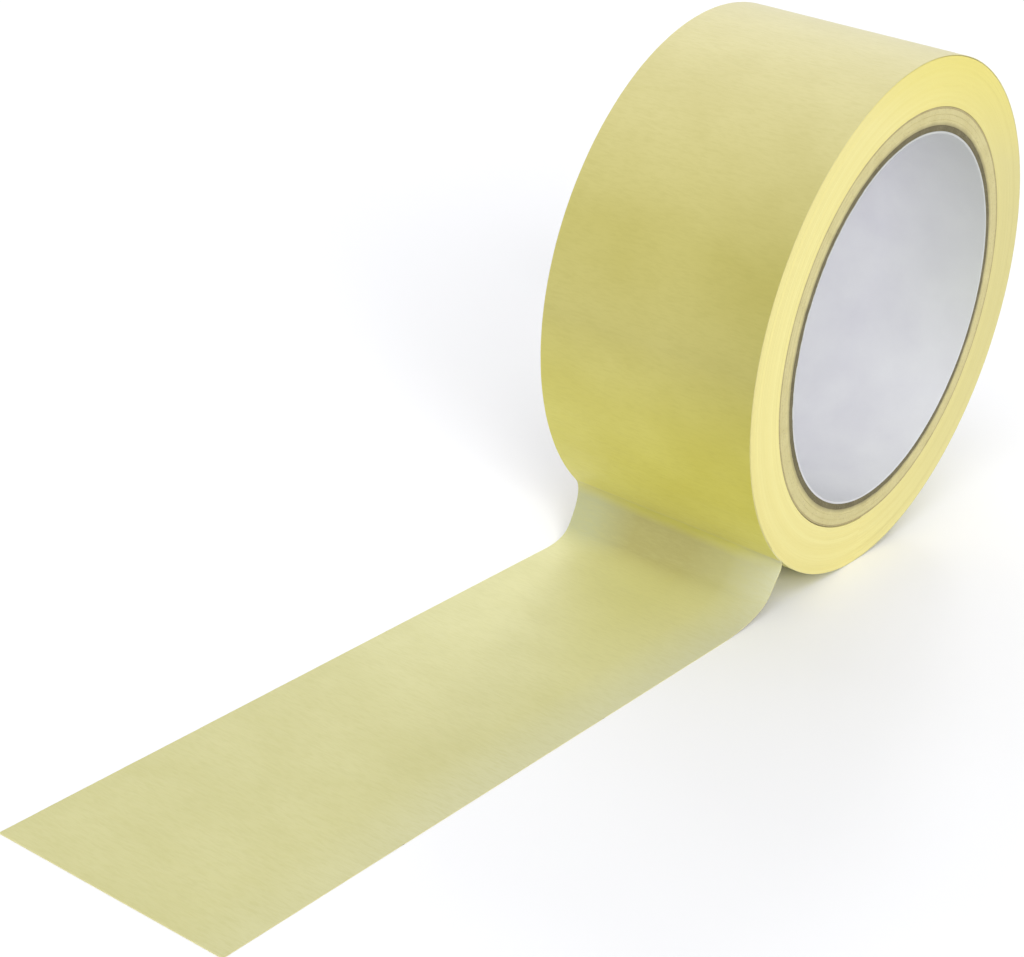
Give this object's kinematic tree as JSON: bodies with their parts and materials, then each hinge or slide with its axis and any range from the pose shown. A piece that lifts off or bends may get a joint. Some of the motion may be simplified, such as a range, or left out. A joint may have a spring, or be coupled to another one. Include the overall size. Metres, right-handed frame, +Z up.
{
  "type": "masking tape roll",
  "caption": "Roll of cream crepe paper masking tape on a board core, standing on its edge, with a length of tape drawn off flat across the table.",
  "frame": {"origin": "on the table, under the middle of the roll, at the middle of the tape's width", "axes": "+X away from the drawn-off tape, which runs along -X; +Y along the roll's axis; +Z up"},
  "size_m": [0.246, 0.048, 0.1071],
  "materials": {
    "crepe_tape": "fine crepe, satin release coat",
    "tape_windings": "matt slit edges of many laps",
    "liner_paper": "smooth matt white-grey liner",
    "dark_board": "matt recycled board, cut edge",
    "pale_board": "matt board, cut edge",
    "kraft_wrap": "matt kraft paper, cut edge"
  },
  "bodies": {
    "strip": {"outer_turn": "crepe_tape", "peel_web": "crepe_tape"},
    "roll": {"core_liner": "liner_paper", "core_dark_ply": "dark_board", "core_board_ply_1": "pale_board", "core_board_ply_2": "pale_board", "core_board_ply_3": "pale_board", "core_wrap": "kraft_wrap", "wound_tape": "tape_windings"},
    "tail_length_1": {"tail_1": "crepe_tape"},
    "tail_length_2": {"tail_2": "crepe_tape"},
    "tail_length_3": {"tail_3": "crepe_tape"},
    "tail_length_4": {"tail_4": "crepe_tape"},
    "tail_length_5": {"tail_5": "crepe_tape"}
  },
  "joints": [
    {"name": "roll_turn", "type": "hinge", "parent": "strip", "child": "roll", "pos_m": [0, 0, 0.05355], "axis": [0, -1, 0], "range_deg": [0, 180]},
    {"name": "tail_feed", "type": "slide", "parent": "strip", "child": "tail_length_1", "axis": [-1, 0, 0], "range_m": [0, 0.1682]},
    {"name": "tail_lift", "type": "hinge", "parent": "tail_length_1", "child": "tail_length_2", "pos_m": [-0.07785, 0, 0.00014], "axis": [0, 1, 0], "range_deg": [0, 22.5]},
    {"name": "tail_lift_2", "type": "hinge", "parent": "tail_length_2", "child": "tail_length_3", "pos_m": [-0.10655, 0, 0.00014], "axis": [0, 1, 0], "range_deg": [0, 22.5]},
    {"name": "tail_lift_3", "type": "hinge", "parent": "tail_length_3", "child": "tail_length_4", "pos_m": [-0.13525, 0, 0.00014], "axis": [0, 1, 0], "range_deg": [0, 22.5]},
    {"name": "tail_lift_4", "type": "hinge", "parent": "tail_length_4", "child": "tail_length_5", "pos_m": [-0.16395, 0, 0.00014], "axis": [0, 1, 0], "range_deg": [0, 22.5]}
  ],
  "couplings": [
    {"joint": "tail_feed", "follows": "roll_turn", "m_per_rad": 0.0535},
    {"joint": "tail_lift_2", "follows": "tail_lift", "ratio": 1},
    {"joint": "tail_lift_3", "follows": "tail_lift", "ratio": 1},
    {"joint": "tail_lift_4", "follows": "tail_lift", "ratio": 1}
  ]
}
